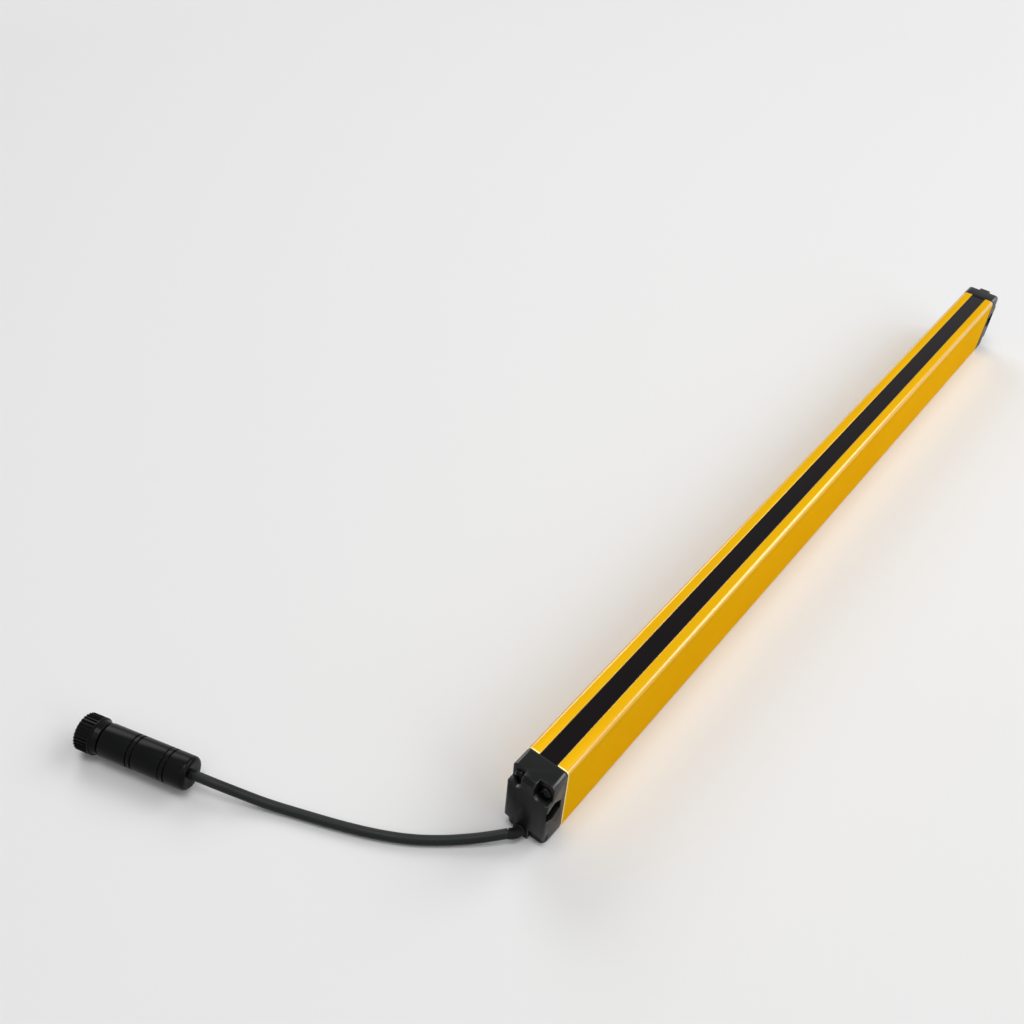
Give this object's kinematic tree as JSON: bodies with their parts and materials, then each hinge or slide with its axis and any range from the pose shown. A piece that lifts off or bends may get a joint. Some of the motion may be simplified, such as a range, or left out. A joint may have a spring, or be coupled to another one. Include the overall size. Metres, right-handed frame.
{
  "type": "safety light curtain",
  "caption": "Slim yellow aluminium bar with a dark front window, black end caps and a short lead with a round connector; guards a machine with light beams.",
  "frame": {"origin": "middle of the bar's back, on the surface the bar lies on; the lead is left out", "axes": "+Y along the bar away from the lead, +Z out of the window, +X across the bar to the right when the lead end is near"},
  "size_m": [0.2534, 0.8248, 0.053],
  "materials": {
    "housing_aluminium": "satin, coated yellow",
    "window": "gloss, dark tinted",
    "seal_rubber": "matte",
    "cap_plastic": "semi-gloss moulded black",
    "screw_steel": "black oxide",
    "circuit_board": "solder mask",
    "inner_plastic": "matte black",
    "clear_lens": "clear",
    "diode_lens": "gloss, dark tinted",
    "plug_plastic": "matte natural",
    "lead_jacket": "smooth jacket",
    "relief_rubber": "matte moulded",
    "connector_plastic": "semi-gloss black",
    "insert_plastic": "matte black",
    "contact_metal": "gold plated"
  },
  "bodies": {
    "curtain": {"housing_extrusion": "housing_aluminium", "front_window": "window", "window_seal_left": "seal_rubber", "window_seal_right": "seal_rubber", "cable_end_cap": "cap_plastic", "far_end_cap": "cap_plastic", "cable_end_gasket": "seal_rubber", "far_end_gasket": "seal_rubber", "cable_end_screw_left": "screw_steel", "cable_end_screw_right": "screw_steel", "far_end_screw_left": "screw_steel", "far_end_screw_right": "screw_steel", "optic_board": "circuit_board", "control_board": "circuit_board", "lens_carrier": "inner_plastic", "lens_strip": "clear_lens", "beam_diodes": "diode_lens", "control_chips": "inner_plastic", "link_header": "inner_plastic", "lead_plug": "plug_plastic", "inner_leads": "lead_jacket", "cable_relief": "relief_rubber", "cable": "lead_jacket", "connector_body": "connector_plastic", "clamp_nut": "connector_plastic", "cable_bush": "seal_rubber", "core_leads": "lead_jacket", "contact_insert": "insert_plastic", "contact_sockets": "contact_metal", "insert_seal": "seal_rubber"},
    "coupling_ring": {"coupling_ring": "connector_plastic"}
  },
  "joints": [
    {"name": "coupling_ring_turn", "type": "hinge", "parent": "curtain", "child": "coupling_ring", "pos_m": [-0.22402, -0.46163, 0.0116], "axis": [0.9626, 0.271, 0], "continuous": true}
  ]
}
